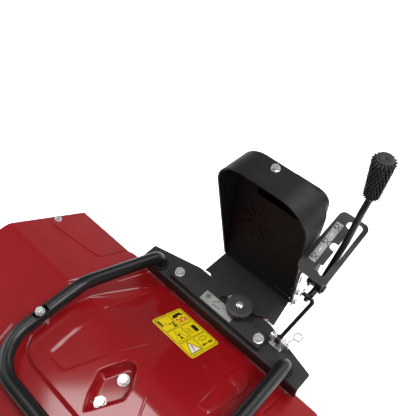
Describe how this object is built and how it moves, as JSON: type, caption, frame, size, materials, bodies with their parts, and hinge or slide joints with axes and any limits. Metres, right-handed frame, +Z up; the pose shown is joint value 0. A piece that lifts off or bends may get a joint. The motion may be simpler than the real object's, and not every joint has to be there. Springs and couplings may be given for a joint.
{
  "type": "snow blower",
  "caption": "Snow blower head: open auger housing, impeller drum, swivelling discharge hood with notched lever, hitch bracket, tubular guard and skid shoes.",
  "frame": {"origin": "centre of the bounding box in X and Y, on the plane the skid shoes stand on", "axes": "+Z up; -Y forward, the way the auger mouth faces; +X the machine's left as seen by an operator behind it"},
  "size_m": [0.8364, 0.662, 0.782],
  "materials": {
    "red_paint": "gloss",
    "black_paint": "satin",
    "black_gloss": "gloss",
    "zinc": "satin",
    "steel_dark": "satin",
    "cast_grey": "matte",
    "brass": "satin",
    "bronze_bush": "satin",
    "knob_black": "matte",
    "grip_black": "matte",
    "slide_plastic": "satin",
    "label_yellow": "gloss",
    "label_silver": "satin",
    "label_grey": "satin"
  },
  "bodies": {
    "frame": {"housing_shell": "red_paint", "deck_panel": "red_paint", "side_plate_left": "red_paint", "side_plate_right": "red_paint", "side_plate_bolts": "zinc", "scraper_bar": "black_paint", "scraper_bolts": "zinc", "skid_shoe_left": "black_paint", "skid_shoe_right": "black_paint", "skid_bolts": "zinc", "impeller_housing": "red_paint", "discharge_neck": "red_paint", "slide_ring": "slide_plastic", "auger_bushings": "bronze_bush", "gearbox_case": "cast_grey", "gearbox_steady": "black_paint", "steady_bolts": "zinc", "carrier_flange": "black_paint", "rear_bearing": "steel_dark", "hitch_bracket": "black_paint", "bracket_stays": "black_paint", "guard_tube": "black_paint", "tube_spacers": "zinc", "guard_tube_bolts": "zinc", "clamp_bar": "black_paint", "clamp_bolts": "zinc", "rating_label": "label_silver", "warning_label": "label_yellow", "clevis_bracket": "zinc", "clevis_pin": "zinc", "r_clip": "zinc", "knob_stud": "zinc"},
    "auger": {"auger_flight_left": "red_paint", "auger_flight_right": "red_paint", "auger_axle": "steel_dark", "shear_bolts": "zinc", "worm_wheel": "brass"},
    "impeller": {"impeller": "red_paint", "impeller_shaft": "steel_dark", "worm": "steel_dark", "input_coupling": "steel_dark"},
    "chute": {"chute_base_plate": "black_gloss", "chute_hood": "black_gloss", "chute_duct": "black_paint", "hood_bolt": "zinc", "side_strap": "zinc", "strap_bolts": "zinc", "gate_plate": "black_paint", "gate_label": "label_grey", "lever_pivot_bolt": "black_paint", "lever_spring": "zinc"},
    "lever": {"lever_rod": "black_paint", "lever_grip": "grip_black"},
    "link": {"link_rod": "black_paint", "push_nut": "zinc"},
    "knob": {"clamp_knob": "knob_black"}
  },
  "joints": [
    {"name": "auger_spin", "type": "hinge", "parent": "frame", "child": "auger", "pos_m": [0, -0.091, 0.21], "axis": [1, 0, 0], "continuous": true},
    {"name": "impeller_spin", "type": "hinge", "parent": "frame", "child": "impeller", "pos_m": [0, 0.124, 0.165], "axis": [0, 1, 0], "continuous": true},
    {"name": "chute_swivel", "type": "hinge", "parent": "frame", "child": "chute", "pos_m": [0.005, 0.274, 0.41], "axis": [0, 0, 1], "range_deg": [-3.5, 7]},
    {"name": "lever_swing", "type": "hinge", "parent": "chute", "child": "lever", "pos_m": [0.135, 0.207, 0.548], "axis": [1, 0, 0], "range_deg": [-6.5, 12.97]},
    {"name": "link_swing", "type": "hinge", "parent": "frame", "child": "link", "pos_m": [0.121, 0.14, 0.429], "axis": [-0.898, 0.4322, -0.0832], "range_deg": [-4.66, 9.29]},
    {"name": "knob_turn", "type": "hinge", "parent": "frame", "child": "knob", "pos_m": [0.03, 0.138, 0.41], "axis": [0, 0, 1], "range_deg": [0, 180]}
  ],
  "couplings": [
    {"joint": "impeller_spin", "follows": "auger_spin", "ratio": -20},
    {"joint": "lever_swing", "follows": "chute_swivel", "ratio": 1.85},
    {"joint": "link_swing", "follows": "chute_swivel", "ratio": 1.3243}
  ]
}
